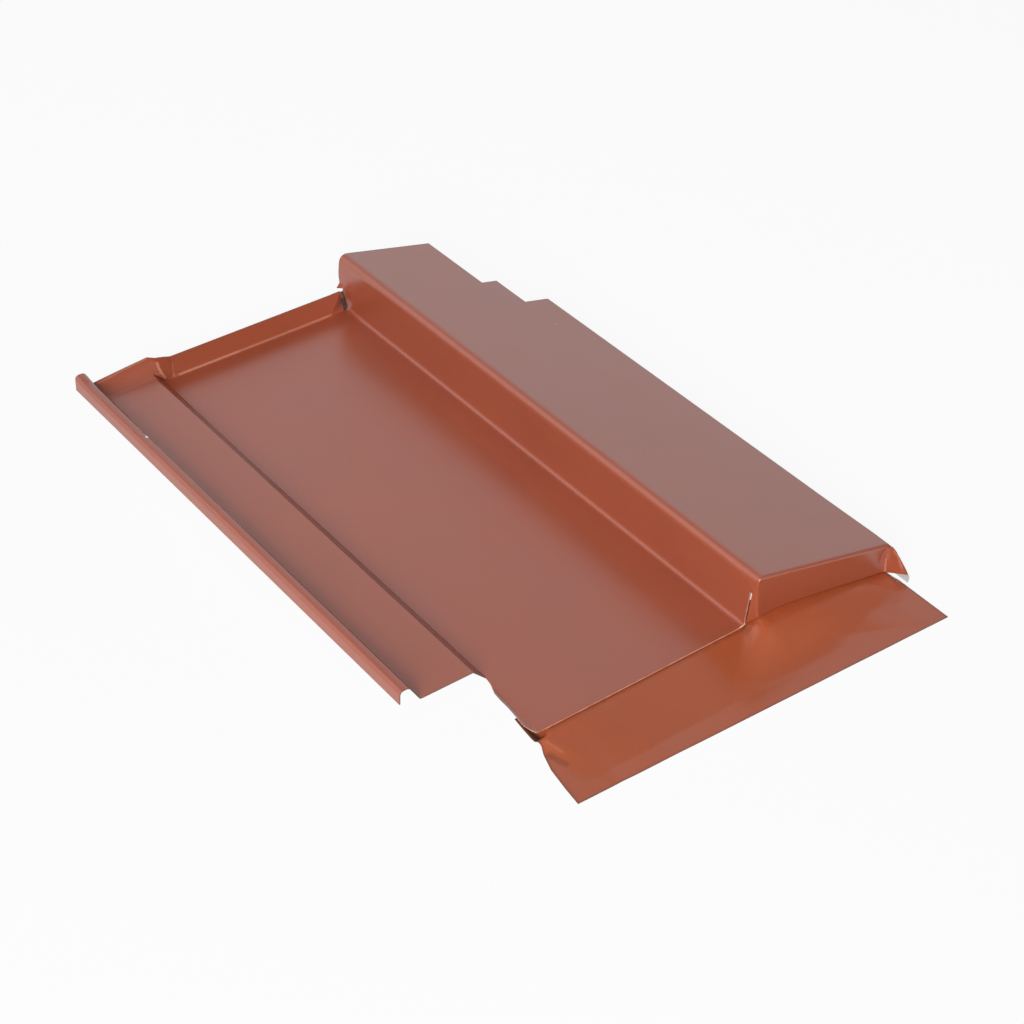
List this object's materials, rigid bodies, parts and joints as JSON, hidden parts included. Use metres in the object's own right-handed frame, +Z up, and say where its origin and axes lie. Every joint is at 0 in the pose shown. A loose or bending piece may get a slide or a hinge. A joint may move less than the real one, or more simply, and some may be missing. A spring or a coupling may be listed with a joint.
{
  "type": "metal roofing sheet",
  "caption": "Folded metal roof tile with a flat pan, a raised rib, a beaded side lock, ridge upstands and a soft apron along the eave edge.",
  "frame": {"origin": "on the floor under the middle of the part's box", "axes": "+X across the roof from the side lock to the rib, +Y up the slope from the eave edge to the ridge end, +Z up from the floor it lies on"},
  "size_m": [0.3168, 0.4914, 0.0494],
  "materials": {
    "painted_sheet": "semi-gloss red-brown coil coating on steel, light grey back side",
    "painted_apron": "glossy red-brown paint on soft aluminium, lightly creased"
  },
  "bodies": {
    "root": {"roof_sheet": "painted_sheet", "apron": "painted_apron"}
  },
  "joints": []
}
